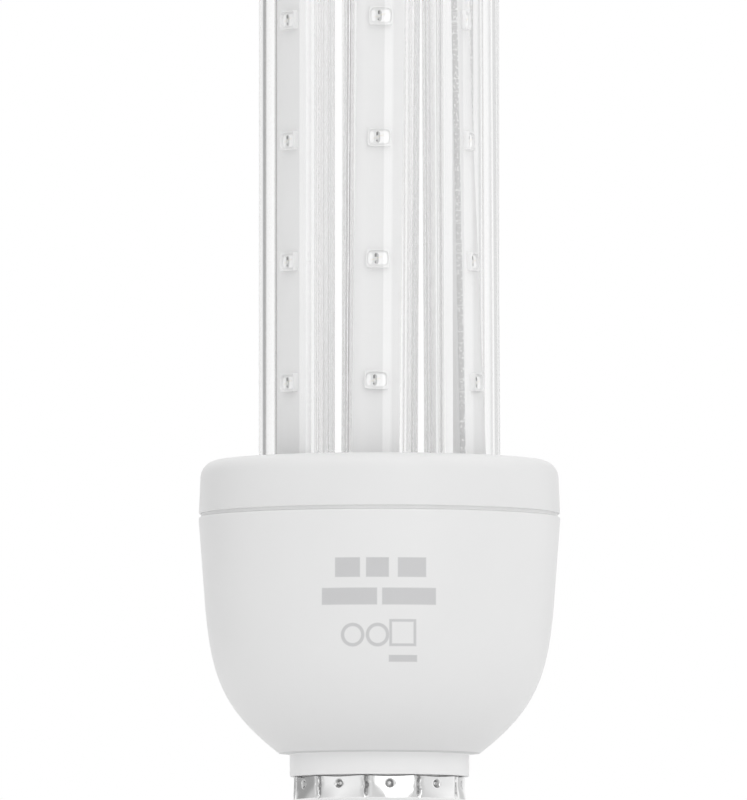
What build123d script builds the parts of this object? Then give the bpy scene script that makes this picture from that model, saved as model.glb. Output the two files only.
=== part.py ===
from build123d import *
from math import atan2, cos, degrees, radians, sin, tan
import os

os.makedirs("parts", exist_ok=True)

# Lamp with three clear U tubes on a two-part housing and an E27 screw cap, in millimetres.
# The origin is the tip of the centre contact, +Z runs up the lamp's axis towards the tubes,
# and -Y is the front.

# Overall sizes
lamp_height = 175.0
seam_height = 65.2
cup_radius = 27.25

# Screw cap
shell_crest_radius = 13.15
shell_root_radius = 12.1
shell_skirt_radius = 12.95
shell_wall = 0.3
shell_bottom = 6.0
shell_top = 26.0
thread_pitch = 3.629
thread_turns = 4
thread_start = 7.3
ridge_crest = 1.0
ridge_foot = 3.1
skirt_start = 22.4
shell_turn_in = 1.4
shell_heel = 0.5
insulator_radius = 11.0
insulator_bottom = 1.0
insulator_rim = 1.5
insulator_rim_width = 2.2
insulator_well = 3.4
contact_radius = 4.8
contact_tip = 3.4
contact_edge = 0.4
contact_rise = 1.4
contact_wire_hole = 1.1

# Lower housing: plug, neck and cup
plug_wall = 1.6
plug_bottom = 12.0
stake_drop = 1.1
stake_groove = 1.6
stake_groove_depth = 0.9
neck_radius = 13.5
lip_radius = 15.3
lip_height = 29.8
lip_step = 0.15
cup_wall = 1.5
cup_draft = 4.3
cup_side_height = 12.5
cup_side_reach = 11.5
cup_lip_angle = 38.0
cup_lip_reach = 10.5
ledge_width = 1.7
ledge_drop = 9.2

# Upper housing: ring cover, skirt and tube sockets
cover_step = 0.05
cover_height = 8.0
cover_draft = 2.5
cover_corner = 2.6
cover_plate = 1.8
seam_gap = 0.5
seam_recess = 0.35
skirt_wall = 1.5
socket_depth = 10.2
socket_floor = 1.5
socket_wall = 1.5
slot_offset = 1.15
slot_depth = 4.1
slot_side = 1.8
bead_height = 0.35
bead_width = 1.6
bead_drop = 3.2

# Glass tubes
tube_radius = 5.7
tube_wall = 1.0
leg_circle = 14.35
leg_count = 6

# Light strips
strip_room = 2.2
strip_thickness = 1.0
strip_top_gap = 2.0
strip_tail = 1.0
led_count = 5
led_pitch = 18.2
led_first_height = 85.0
led_length = 3.5
led_width = 2.8
led_thickness = 0.8
led_bevel = 0.2
# How each strip stands in its leg, anticlockwise from the front leg. As shares of the tube's bore
# radius: how far the faces of its light packages stand out from the leg's axis, how far it is
# to one side, and how far its foot leans outward and to one side from its middle. In degrees:
# how far its foot is turned about its own length, and how far its top is twisted against that
strip_offsets = (0.32, 0.425, 0.32, 0.32, 0.32, 0.40)
strip_shifts = (-0.032, 0.0, 0.0, 0.0, 0.0, 0.0)
strip_foot_out = (0.0, 0.368, 0.0, 0.0, 0.0, 0.0)
strip_foot_aside = (-0.136, 0.0, 0.0, 0.0, 0.0, 0.0)
strip_turns = (0.0, 0.0, 0.0, 0.0, 0.0, 9.0)
strip_twists = (0.0, 20.0, 0.0, 0.0, 0.0, 0.0)

# Driver board and its components, each with its place on the board
board_thickness = 1.2
capacitor_radius = 5.0
capacitor_height = 18.0
capacitor_groove = (1.6, 2.3, 3.0)
capacitor_edge = 0.5
inductor_place = (12.5, 3.0)
inductor_radius = 5.0
inductor_winding = 0.5
inductor_height = 11.0
inductor_flange = 1.6
film_place = (-12.0, 4.0)
film_length = 12.0
film_thickness = 5.0
film_height = 9.0
fuse_place = (4.5, -14.5)
fuse_radius = 1.6
fuse_length = 8.0
fuse_lift = 0.6
lead_size = 0.5
lead_reach = 1.5
chip_place = (-7.5, -13.5)
chip_length = 4.9
chip_width = 3.9
chip_height = 1.4
chip_leg_pitch = 1.27
chip_leg = (0.42, 1.2, 0.6)
bridge_place = (3.0, 13.5)
bridge_length = 6.4
bridge_width = 4.6
bridge_height = 2.4
bridge_foot_pitch = 4.0
bridge_foot = (0.8, 1.4, 0.8)
wire_radius = 0.7
live_place = (4.5, -7.5)
live_heights = (36.0, 22.0)
live_bend = 4.0
neutral_place = (-7.0, 0.0)
neutral_drop = 1.8
neutral_bend = 2.5

# Clearances
snap_clearance = 0.15
plug_clearance = 0.15
socket_clearance = 0.15
neck_clearance = 0.15
board_clearance = 0.3
insulator_clearance = 0.08
solder_gap = 0.05
led_solder = 0.05

# Sizes that follow from those above
cover_radius = cup_radius - cover_step
neck_bottom = shell_top + neck_clearance
bead_middle = seam_height - bead_drop
bead_low = bead_middle - bead_width / 2
bead_high = bead_middle + bead_width / 2
cover_bottom = seam_height + seam_gap
cover_top = cover_bottom + cover_height
ledge_height = seam_height - ledge_drop
board_top = ledge_height + board_thickness
socket_seat = cover_top - socket_depth
socket_bottom = socket_seat - socket_floor
leg_spread = leg_circle * sin(radians(180 / leg_count))
leg_top = lamp_height - tube_radius - leg_spread
tube_bore = tube_radius - tube_wall
strip_width = 2 * tube_bore - strip_room
strip_bottom = socket_bottom - strip_tail
strip_top = leg_top - strip_top_gap
strip_middle = (strip_bottom + strip_top) / 2
strip_length = strip_top - strip_bottom


# The cup's outline is a drafted side, then one cubic curve down to its lip
side_fall = tan(radians(cup_draft))
side_point = Vector(cup_radius - cup_side_height * side_fall, 0, seam_height - cup_side_height)
side_handle = side_point - Vector(side_fall, 0, 1).normalized() * cup_side_reach
lip_point = Vector(lip_radius, 0, lip_height)
lip_run = Vector(cos(radians(cup_lip_angle)), 0, sin(radians(cup_lip_angle)))
lip_handle = lip_point + lip_run * cup_lip_reach


def cup_inside(share):
    """Point a wall's thickness inside the cup's curve, a share of the way down to its lip."""
    rest = 1 - share
    point = (
        side_point * rest**3
        + side_handle * (3 * rest**2 * share)
        + lip_handle * (3 * rest * share**2)
        + lip_point * share**3
    )
    run = (
        (side_handle - side_point) * rest**2
        + (lip_handle - side_handle) * (2 * rest * share)
        + (lip_point - lip_handle) * share**2
    ).normalized()
    return point + Vector(run.Z, 0, -run.X) * cup_wall


def bore_radius(height):
    """Radius of the cup's mouth, a cone between the rim and the board's ledge."""
    return cup_radius - cup_wall - (seam_height - height) * side_fall


def leg_azimuth(index):
    """Direction of a leg in degrees, anticlockwise from the front one."""
    return -90 + index * 360 / leg_count


def radial_plane(azimuth, radius, height=0.0):
    """Upright plane that faces outward at a radius, with its own Y along the lamp's axis."""
    outward = Vector(cos(radians(azimuth)), sin(radians(azimuth)), 0)
    sideways = Vector(-sin(radians(azimuth)), cos(radians(azimuth)), 0)
    return Plane(origin=outward * radius + Vector(0, 0, height), x_dir=sideways, z_dir=outward)


# Screw shell: a drawn sheet with a ridge for each turn of its thread, its foot turned in over
# the insulator
with BuildPart() as screw_shell:
    with BuildSketch(Plane.XZ):
        with BuildLine():
            ridges = []
            for turn in range(thread_turns):
                middle = thread_start + (turn + 0.5) * thread_pitch
                ridges += [
                    (shell_root_radius, middle - ridge_foot / 2),
                    (shell_crest_radius, middle - ridge_crest / 2),
                    (shell_crest_radius, middle + ridge_crest / 2),
                    (shell_root_radius, middle + ridge_foot / 2),
                ]
            Polyline(
                (shell_root_radius - shell_turn_in, shell_bottom + shell_wall),
                (shell_root_radius - shell_turn_in, shell_bottom),
                (shell_root_radius - shell_heel, shell_bottom),
                *ridges,
                (shell_skirt_radius, skirt_start),
                (shell_skirt_radius, shell_top),
                (shell_skirt_radius - shell_wall, shell_top),
                (shell_skirt_radius - shell_wall, skirt_start),
                (shell_root_radius - shell_wall, skirt_start - thread_pitch / 4),
                (shell_root_radius - shell_wall, shell_bottom + shell_wall),
                close=True,
            )
        make_face()
    revolve(axis=Axis.Z)
screw_shell.part.label = "screw_shell"
export_step(screw_shell.part, "parts/screw_shell.step")


# Cap insulator: a cone of glass between the shell's foot and the centre contact
insulator_seat = shell_bottom + shell_wall + insulator_clearance
insulator_throat = shell_root_radius - shell_turn_in - insulator_clearance
with BuildPart() as cap_insulator:
    with BuildSketch(Plane.XZ):
        with BuildLine():
            Polyline(
                (contact_wire_hole, insulator_bottom),
                (contact_radius + 0.4, insulator_bottom),
                (insulator_throat, shell_bottom - 0.4),
                (insulator_throat, insulator_seat),
                (insulator_radius, insulator_seat),
                (insulator_radius, insulator_seat + insulator_rim),
                (insulator_radius - insulator_rim_width, insulator_seat + insulator_rim),
                (contact_wire_hole, insulator_bottom + insulator_well),
                close=True,
            )
        make_face()
    revolve(axis=Axis.Z)
cap_insulator.part.label = "cap_insulator"
export_step(cap_insulator.part, "parts/cap_insulator.step")


# Centre contact: a brass plate with a rounded tip and a solder stub in the insulator's hole
with BuildPart() as centre_contact:
    with BuildSketch(Plane.XZ):
        with BuildLine():
            Polyline(
                (0, 0),
                (contact_tip, 0),
                (contact_radius, contact_edge),
                (contact_radius, insulator_bottom),
                (0, insulator_bottom),
                close=True,
            )
        make_face()
    revolve(axis=Axis.Z)
    with BuildSketch(Plane.XY.offset(insulator_bottom)):
        Circle(contact_wire_hole - insulator_clearance)
    extrude(amount=contact_rise)
centre_contact.part.label = "centre_contact"
export_step(centre_contact.part, "parts/centre_contact.step")


# Lower housing: cup, neck and plug moulded in one, open from the mouth to the plug's foot
plug_skirt_radius = shell_skirt_radius - shell_wall - plug_clearance
plug_root_radius = shell_root_radius - shell_wall - plug_clearance
plug_bore = plug_root_radius - plug_wall
ledge_radius = bore_radius(ledge_height) - ledge_width
stake_groove_low = shell_top - stake_drop - stake_groove / 2
stake_groove_high = shell_top - stake_drop + stake_groove / 2
inside_shares = (0.2, 0.6, 0.95)
with BuildPart() as lower_housing:
    with BuildSketch(Plane.XZ):
        with BuildLine():
            Line((cup_radius, seam_height), (side_point.X, side_point.Z))
            Bezier(
                (side_point.X, side_point.Z),
                (side_handle.X, side_handle.Z),
                (lip_handle.X, lip_handle.Z),
                (lip_point.X, lip_point.Z),
            )
            inside = [cup_inside(share) for share in inside_shares]
            Polyline(
                (lip_radius, lip_height),
                (neck_radius, lip_height - lip_step),
                (neck_radius, neck_bottom),
                (plug_skirt_radius, neck_bottom),
                (plug_skirt_radius, stake_groove_high),
                (plug_skirt_radius - stake_groove_depth, stake_groove_high - stake_groove_depth / 2),
                (plug_skirt_radius - stake_groove_depth, stake_groove_low + stake_groove_depth / 2),
                (plug_skirt_radius, stake_groove_low),
                (plug_skirt_radius, skirt_start + 0.3),
                (plug_root_radius, skirt_start - 0.5),
                (plug_root_radius, plug_bottom),
                (plug_bore, plug_bottom),
                (plug_bore, lip_height + 0.6),
                *[(point.X, point.Z) for point in reversed(inside)],
                (ledge_radius, inside[0].Z + 0.5),
                (ledge_radius, ledge_height),
                (bore_radius(ledge_height), ledge_height),
                (bore_radius(bead_low), bead_low),
                (bore_radius(bead_middle) + bead_height, bead_middle),
                (bore_radius(bead_high), bead_high),
                (bore_radius(seam_height), seam_height),
                (cup_radius, seam_height),
            )
        make_face()
    revolve(axis=Axis.Z)
lower_housing.part.label = "lower_housing"
export_step(lower_housing.part, "parts/lower_housing.step")


# Upper housing: ring cover with a snap skirt below it and a socket for each tube leg
skirt_bottom = board_top + board_clearance
seat_radius = cover_radius - seam_recess
top_radius = cover_radius - cover_height * sin(radians(cover_draft))
plate_bottom = cover_top - cover_plate
skirt_inside = bore_radius(skirt_bottom) - snap_clearance - skirt_wall
with BuildPart() as upper_housing:
    with BuildSketch(Plane.XZ):
        with BuildLine():
            Line((0, cover_top), (top_radius - cover_corner, cover_top))
            RadiusArc(
                (top_radius - cover_corner, cover_top),
                (top_radius, cover_top - cover_corner),
                cover_corner,
            )
            Polyline(
                (top_radius, cover_top - cover_corner),
                (cover_radius, cover_bottom),
                (seat_radius, cover_bottom),
                (seat_radius, seam_height),
                (bore_radius(seam_height) - snap_clearance, seam_height),
                (bore_radius(bead_high) - snap_clearance, bead_high),
                (bore_radius(bead_middle) - snap_clearance + bead_height, bead_middle),
                (bore_radius(bead_low) - snap_clearance, bead_low),
                (bore_radius(skirt_bottom) - snap_clearance, skirt_bottom),
                (skirt_inside, skirt_bottom),
                (skirt_inside, plate_bottom),
                (0, plate_bottom),
                (0, cover_top),
            )
        make_face()
    revolve(axis=Axis.Z)
    # The sockets hang from the plate, grown together where they meet
    with BuildSketch(Plane.XY.offset(socket_bottom)):
        with PolarLocations(leg_circle, leg_count, leg_azimuth(0)):
            Circle(tube_radius + socket_clearance + socket_wall)
    extrude(amount=plate_bottom - socket_bottom + 0.5)
    with BuildSketch(Plane.XY.offset(socket_seat)):
        with PolarLocations(leg_circle, leg_count, leg_azimuth(0)):
            Circle(tube_radius + socket_clearance)
    extrude(amount=socket_depth + 1, mode=Mode.SUBTRACT)
    # Each socket's floor carries the glass and has a slot for the strip's tail
    with BuildSketch(Plane.XY.offset(socket_bottom - 1)):
        with PolarLocations(leg_circle + slot_offset, leg_count, leg_azimuth(0)):
            Rectangle(slot_depth, strip_width + slot_side)
    extrude(amount=socket_floor + 2, mode=Mode.SUBTRACT)
upper_housing.part.label = "upper_housing"
export_step(upper_housing.part, "parts/upper_housing.step")


# U tubes: each joins two neighbouring legs with a half ring of bent glass
pair_circle = leg_circle * cos(radians(180 / leg_count))
for index, place in enumerate(("front", "back", "left")):
    middle = (leg_azimuth(2 * index) + leg_azimuth(2 * index + 1)) / 2
    with BuildPart() as u_tube:
        with BuildLine(radial_plane(middle, pair_circle)) as bend:
            Line((-leg_spread, socket_seat), (-leg_spread, leg_top))
            ThreePointArc((-leg_spread, leg_top), (0, leg_top + leg_spread), (leg_spread, leg_top))
            Line((leg_spread, leg_top), (leg_spread, socket_seat))
        with BuildSketch(Plane(origin=bend.line @ 0, z_dir=bend.line % 0)):
            Circle(tube_radius)
            Circle(tube_bore, mode=Mode.SUBTRACT)
        sweep()
    u_tube.part.label = f"u_tube_{place}"
    export_step(u_tube.part, f"parts/u_tube_{place}.step")


def strip_plane(index, height=strip_middle):
    """Plane on a strip's face at a height, its own Y up the strip and Z outward."""
    face = strip_offsets[index] * tube_bore - led_thickness
    upright = radial_plane(leg_azimuth(index), leg_circle + face, strip_middle)
    upright.origin += upright.x_dir * strip_shifts[index] * tube_bore
    lean_out = degrees(atan2(strip_foot_out[index] * tube_bore, strip_length / 2))
    lean_aside = degrees(atan2(strip_foot_aside[index] * tube_bore, strip_length / 2))
    lean = Location((0, 0, 0), (-lean_out, 0, lean_aside))
    # The twist grows evenly from the foot and turns about the middle of the strip's thickness
    turn = strip_turns[index] + strip_twists[index] * (height - strip_bottom) / strip_length
    core = Location((0, height - strip_middle, -strip_thickness / 2), (0, turn, 0))
    return Plane(upright.location * lean * core).offset(strip_thickness / 2)


# Light strips: an aluminium-core board in each leg, with five light packages on its outer face
for index in range(leg_count):
    with BuildPart() as led_board:
        for height in (strip_bottom, strip_top):
            end = strip_plane(index, height).offset(-strip_thickness / 2)
            with BuildSketch(Plane(origin=end.origin, x_dir=end.x_dir, z_dir=end.y_dir)):
                Rectangle(strip_width, strip_thickness)
        loft(ruled=True)
    led_board.part.label = f"led_board_{index + 1}"
    export_step(led_board.part, f"parts/led_board_{index + 1}.step")

    outward = strip_plane(index).z_dir
    with BuildPart() as led_row:
        for led in range(led_count):
            with BuildSketch(strip_plane(index, led_first_height + led * led_pitch).offset(led_solder)):
                Rectangle(led_length, led_width)
            extrude(amount=led_thickness - led_solder)
        tops = led_row.faces().filter_by(lambda face: face.normal_at().dot(outward) > 0.9)
        chamfer(tops.edges(), led_bevel)
    led_row.part.label = f"led_row_{index + 1}"
    export_step(led_row.part, f"parts/led_row_{index + 1}.step")


# Driver board: a round board on the cup's ledge, below the skirt
with BuildPart() as driver_board:
    with BuildSketch(Plane.XY.offset(ledge_height)):
        Circle(bore_radius(ledge_height) - board_clearance)
    extrude(amount=board_thickness)
driver_board.part.label = "driver_board"
export_step(driver_board.part, "parts/driver_board.step")


# Smoothing capacitor: a can with a narrowed neck near the board, hanging towards the plug
can_top = ledge_height
can_foot = ledge_height - capacitor_height
with BuildPart() as smoothing_capacitor:
    with BuildSketch(Plane.XZ):
        with BuildLine():
            Polyline(
                (0, can_top),
                (capacitor_radius, can_top),
                (capacitor_radius, can_top - capacitor_groove[0]),
                (capacitor_radius - capacitor_edge, can_top - capacitor_groove[1]),
                (capacitor_radius, can_top - capacitor_groove[2]),
                (capacitor_radius, can_foot + capacitor_edge),
                (capacitor_radius - capacitor_edge, can_foot),
                (0, can_foot),
                close=True,
            )
        make_face()
    revolve(axis=Axis.Z)
smoothing_capacitor.part.label = "smoothing_capacitor"
export_step(smoothing_capacitor.part, "parts/smoothing_capacitor.step")


# Driver inductor: a drum core with its winding in the waist
with BuildPart() as driver_inductor:
    for low, radius, height in (
        (0, inductor_radius, inductor_flange),
        (inductor_flange, inductor_radius - inductor_winding, inductor_height - 2 * inductor_flange),
        (inductor_height - inductor_flange, inductor_radius, inductor_flange),
    ):
        with BuildSketch(Plane.XY.offset(ledge_height - inductor_height + low)):
            with Locations(inductor_place):
                Circle(radius)
        extrude(amount=height)
driver_inductor.part.label = "driver_inductor"
export_step(driver_inductor.part, "parts/driver_inductor.step")


# Film capacitor: a moulded box with rounded upright edges
with BuildPart() as film_capacitor:
    with BuildSketch(Plane.XY.offset(ledge_height - film_height)):
        with Locations(film_place):
            RectangleRounded(film_thickness, film_length, 0.8)
    extrude(amount=film_height)
film_capacitor.part.label = "film_capacitor"
export_step(film_capacitor.part, "parts/film_capacitor.step")


# Fuse resistor: a body across the board on two bent leads
fuse_height = ledge_height - fuse_radius - fuse_lift
with BuildPart() as fuse_resistor:
    with BuildSketch(Plane.YZ.offset(fuse_place[0] - fuse_length / 2)):
        with Locations((fuse_place[1], fuse_height)):
            Circle(fuse_radius)
    extrude(amount=fuse_length)
    # Each lead leaves the body's end and turns up to the board
    for side in (-1, 1):
        end = fuse_place[0] + side * fuse_length / 2
        with BuildSketch(Plane.XZ.offset(-fuse_place[1] - lead_size / 2)):
            with BuildLine():
                Polyline(
                    (end - side * 0.5, fuse_height - lead_size / 2),
                    (end + side * lead_reach, fuse_height - lead_size / 2),
                    (end + side * lead_reach, ledge_height),
                    (end + side * (lead_reach - lead_size), ledge_height),
                    (end + side * (lead_reach - lead_size), fuse_height + lead_size / 2),
                    (end - side * 0.5, fuse_height + lead_size / 2),
                    close=True,
                )
            make_face()
        extrude(amount=lead_size)
fuse_resistor.part.label = "fuse_resistor"
export_step(fuse_resistor.part, "parts/fuse_resistor.step")


# Driver chip: an eight-legged chip, face to face with the board
with BuildPart() as driver_chip:
    with BuildSketch(Plane.XY.offset(ledge_height - chip_height)):
        with Locations(chip_place):
            Rectangle(chip_length, chip_width)
    extrude(amount=chip_height)
    with BuildSketch(Plane.XY.offset(ledge_height - chip_leg[2])):
        with Locations(chip_place):
            with GridLocations(chip_leg_pitch, chip_width + chip_leg[1] * 0.8, 4, 2):
                Rectangle(chip_leg[0], chip_leg[1])
    extrude(amount=chip_leg[2])
driver_chip.part.label = "driver_chip"
export_step(driver_chip.part, "parts/driver_chip.step")


# Bridge rectifier: a flat moulded block with four feet
with BuildPart() as bridge_rectifier:
    with BuildSketch(Plane.XY.offset(ledge_height - bridge_height)):
        with Locations(bridge_place):
            Rectangle(bridge_length, bridge_width)
    extrude(amount=bridge_height)
    with BuildSketch(Plane.XY.offset(ledge_height - bridge_foot[2])):
        with Locations(bridge_place):
            with GridLocations(bridge_foot_pitch, bridge_width + bridge_foot[1] * 0.8, 2, 2):
                Rectangle(bridge_foot[0], bridge_foot[1])
    extrude(amount=bridge_foot[2])
bridge_rectifier.part.label = "bridge_rectifier"
export_step(bridge_rectifier.part, "parts/bridge_rectifier.step")


# Board leads: two short stiff wires from the driver board up to the foot of each strip
with BuildPart() as board_leads:
    for index in range(leg_count):
        foot = strip_plane(index, strip_bottom).offset(-strip_thickness / 2)
        for side in (-1, 1):
            place = foot.origin + foot.x_dir * (side * strip_width / 4)
            with BuildSketch(Plane.XY.offset(board_top)):
                with Locations((place.X, place.Y)):
                    Rectangle(lead_size, lead_size)
            extrude(amount=place.Z - board_top - solder_gap)
board_leads.part.label = "board_leads"
export_step(board_leads.part, "parts/board_leads.step")


# Mains wires inside: one to the centre contact, one to the foot of the shell
live_route = (
    (*live_place, ledge_height),
    (*live_place, live_heights[0]),
    (0.0, 0.0, live_heights[1]),
    (0.0, 0.0, insulator_bottom + contact_rise + solder_gap),
)
neutral_route = (
    (*neutral_place, ledge_height),
    (*neutral_place, plug_bottom - neutral_drop),
    (-shell_root_radius + shell_wall + solder_gap, 0.0, plug_bottom - neutral_drop),
)
for name, route, bends in (
    ("live_wire", live_route, live_bend),
    ("neutral_wire", neutral_route, neutral_bend),
):
    with BuildPart() as wire:
        with BuildLine() as run:
            FilletPolyline(*route, radius=bends)
        with BuildSketch(Plane(origin=run.line @ 0, z_dir=run.line % 0)):
            Circle(wire_radius)
        sweep()
    wire.part.label = name
    export_step(wire.part, f"parts/{name}.step")
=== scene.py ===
# %% [markdown]
# A lamp with three clear U tubes on a white two-part housing. A light strip stands in each of
# the six tube legs, and the screw cap is staked to the housing's neck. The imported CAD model
# gives every place and size. This script gives the pieces the shapes and finishes that the eye
# sees. Each new piece is a surface worked out with numpy, and each finish is made of nodes.

import bmesh
import bpy
import numpy as np
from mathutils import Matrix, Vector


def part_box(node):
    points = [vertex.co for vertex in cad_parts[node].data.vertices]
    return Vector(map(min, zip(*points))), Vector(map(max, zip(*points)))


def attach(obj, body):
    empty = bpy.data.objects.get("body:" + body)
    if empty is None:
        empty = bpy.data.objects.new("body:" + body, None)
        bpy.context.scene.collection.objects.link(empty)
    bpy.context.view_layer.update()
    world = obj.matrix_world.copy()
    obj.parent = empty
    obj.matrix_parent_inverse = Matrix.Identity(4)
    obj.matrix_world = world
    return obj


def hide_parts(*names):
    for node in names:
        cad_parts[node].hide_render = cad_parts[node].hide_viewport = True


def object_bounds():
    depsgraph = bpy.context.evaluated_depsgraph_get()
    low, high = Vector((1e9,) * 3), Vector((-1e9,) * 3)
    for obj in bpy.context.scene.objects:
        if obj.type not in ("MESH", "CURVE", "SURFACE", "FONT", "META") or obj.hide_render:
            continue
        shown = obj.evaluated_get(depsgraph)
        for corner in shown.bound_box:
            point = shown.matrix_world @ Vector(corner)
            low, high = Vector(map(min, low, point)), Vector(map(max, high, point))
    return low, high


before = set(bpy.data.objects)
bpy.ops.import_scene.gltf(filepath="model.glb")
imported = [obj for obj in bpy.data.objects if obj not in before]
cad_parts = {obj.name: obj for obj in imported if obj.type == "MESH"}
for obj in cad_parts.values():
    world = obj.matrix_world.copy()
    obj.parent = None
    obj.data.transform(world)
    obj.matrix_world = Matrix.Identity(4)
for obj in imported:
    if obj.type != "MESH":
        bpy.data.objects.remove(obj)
cad_low, cad_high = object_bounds()
print("CAD nodes:", len(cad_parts), "box:", list(cad_low), list(cad_high))

# %% [markdown]
# Blender works in metres, and a lamp is drawn in millimetres. One name, mm, turns the numbers
# of a drawing into Blender's units. Overall sizes come from the frame's boxes, so the visible
# pieces keep the place of the CAD nodes that they stand for.

# %% Sizes of the lamp
mm = 0.001
cover_low, cover_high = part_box("upper_housing")
cup_low, cup_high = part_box("lower_housing")
shell_low, shell_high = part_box("screw_shell")
tube_low, tube_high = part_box("u_tube_front")
cover_radius = cover_high.x
cover_top = cover_high.z
cup_radius = cup_high.x
seam_height = cup_high.z
tube_radius = 5.7 * mm
tube_wall = 1.0 * mm
leg_circle = 14.35 * mm
leg_count = 6
leg_angles = np.radians(-90 + 360 / leg_count * np.arange(leg_count))
print(f"cover {cover_radius / mm:.2f}, cup {cup_radius / mm:.2f}, seam at {seam_height / mm:.2f} mm")

# %% [markdown]
# Nearly all pieces are grids: rows of points that lie beside each other. A grid can close on
# itself in one direction, as a bent sheet does, or in both, as a ring does. One function makes
# the faces of any grid from nothing but the numbers of its points.

# %% Grids of faces
def skin(points, around=True, along=True):
    """Faces that join each row of a grid to the next and each column to the next.

    around closes the columns, and along closes the rows. Point (row, column) has the number
    row * columns + column, and each face has four neighbours' numbers.
    """
    rows, columns = points.shape[:2]
    number = np.arange(rows * columns).reshape(rows, columns)
    if around:
        number = np.concatenate([number, number[:, :1]], axis=1)
    if along:
        number = np.concatenate([number, number[:1]], axis=0)
    faces = np.stack([number[:-1, :-1], number[:-1, 1:], number[1:, 1:], number[1:, :-1]], axis=-1)
    return points.reshape(-1, 3), faces.reshape(-1, 4)


# %% [markdown]
# Where an outline reaches the axis, a whole row of the grid lies in one point. Merging the
# points that coincide closes such poles, and it also welds grids that share an edge. Then each
# closed surface gets its faces turned outward. Smooth shading, with edges above a limit angle
# kept sharp, shows curves as curves and edges as edges.

# %% Skins into objects
weld_distance = 0.0005 * mm


def weld(mesh):
    """Merges points that coincide, so that poles and shared edges close, and turns faces out."""
    work = bmesh.new()
    work.from_mesh(mesh)
    bmesh.ops.remove_doubles(work, verts=work.verts, dist=weld_distance)
    bmesh.ops.recalc_face_normals(work, faces=work.faces)
    work.to_mesh(mesh)
    work.free()


def piece(name, skins, finishes, stands_for, sharp=35, places=None):
    """Makes one object of the given skins, each with its finish, and fixes it to the frame.

    places are the points' own coordinates on the piece, which a finish can read.
    """
    starts = np.cumsum([0] + [len(vertices) for vertices, _ in skins[:-1]])
    vertices = np.concatenate([vertices for vertices, _ in skins])
    faces = np.concatenate([faces + start for (_, faces), start in zip(skins, starts)])
    mesh = bpy.data.meshes.new(name)
    mesh.from_pydata(vertices, [], faces.tolist())
    kinds = list(dict.fromkeys(finishes))
    for material in kinds:
        mesh.materials.append(material)
    kind = np.repeat([kinds.index(finish) for finish in finishes], [len(one) for _, one in skins])
    mesh.polygons.foreach_set("material_index", kind.astype(np.int32))
    if places is not None:
        attribute = mesh.attributes.new("place", "FLOAT_VECTOR", "POINT")
        attribute.data.foreach_set("vector", places.astype(np.float32).ravel())
    weld(mesh)
    mesh.shade_smooth()
    mesh.set_sharp_from_angle(angle=np.radians(sharp))
    made = bpy.data.objects.new(name, mesh)
    bpy.context.scene.collection.objects.link(made)
    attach(made, "root")
    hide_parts(*stands_for)
    print(f"{name}: {len(mesh.polygons)} faces")
    return made


# %% [markdown]
# Turned pieces start as an outline of radius and height. Corners on a moulded or drawn part are
# never quite sharp, and the light that runs along a small round is what makes an edge look
# real. So an outline lists its corners, each with the radius that rounds it.

# %% Outlines
def rounded(corners, steps=4):
    """An outline through corners (radius, height, rounding), each replaced by an arc.

    The arc touches both sides at rounding / tan(half the corner's angle) from the corner.
    Its points swing from one touching point to the other about the arc's centre.
    """
    corners = np.array(corners, float)
    outline = []
    for before, here, after in zip(np.roll(corners, 1, 0), corners, np.roll(corners, -1, 0)):
        if here[2] == 0:
            outline.append(here[None, :2])
            continue
        to_before, to_after = before[:2] - here[:2], after[:2] - here[:2]
        to_before, to_after = to_before / np.linalg.norm(to_before), to_after / np.linalg.norm(to_after)
        half = np.arccos(np.clip(to_before @ to_after, -1, 1)) / 2
        middle = (to_before + to_after) / np.linalg.norm(to_before + to_after)
        centre = here[:2] + middle * here[2] / np.sin(half)
        first = here[:2] + to_before * here[2] / np.tan(half) - centre
        last = here[:2] + to_after * here[2] / np.tan(half) - centre
        swing = np.pi - 2 * half
        share = np.linspace(0, 1, steps + 1)[:, None]
        arc = (np.sin((1 - share) * swing) * first + np.sin(share * swing) * last) / np.sin(swing)
        outline.append(centre + arc)
    return np.concatenate(outline)


def cubic(start, pull_start, pull_end, end, steps):
    """A cubic curve from start to end, drawn out by two pulls, at equal steps of its share."""
    share = np.linspace(0, 1, steps + 1)[:, None]
    rest = 1 - share
    points = rest**3 * start + 3 * rest**2 * share * pull_start
    return points + 3 * rest * share**2 * pull_end + share**3 * end


def turned(outline, columns=192, start=0.0):
    """Carries an outline round the lamp's axis: x and y are the radius times the angle's cosine
    and sine, and z is the height."""
    angle = start + np.linspace(0, 2 * np.pi, columns, endpoint=False)
    radius, height = outline.T
    heights = np.repeat(height[:, None], columns, axis=1)
    return np.stack([np.outer(radius, np.cos(angle)), np.outer(radius, np.sin(angle)), heights], axis=-1)


# %% [markdown]
# Finishes are node trees, and most of what they do is arithmetic: masks, distances and sums.
# Written as nodes, one short formula takes twenty lines. The class below wraps a socket, so
# that a sum written in Python adds the Math nodes by itself. Every other node comes from its
# one method, which takes the node's type, its settings and the values of its sockets.

# %% Sums on sockets
cloud_range = (0.3, 0.7)


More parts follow.
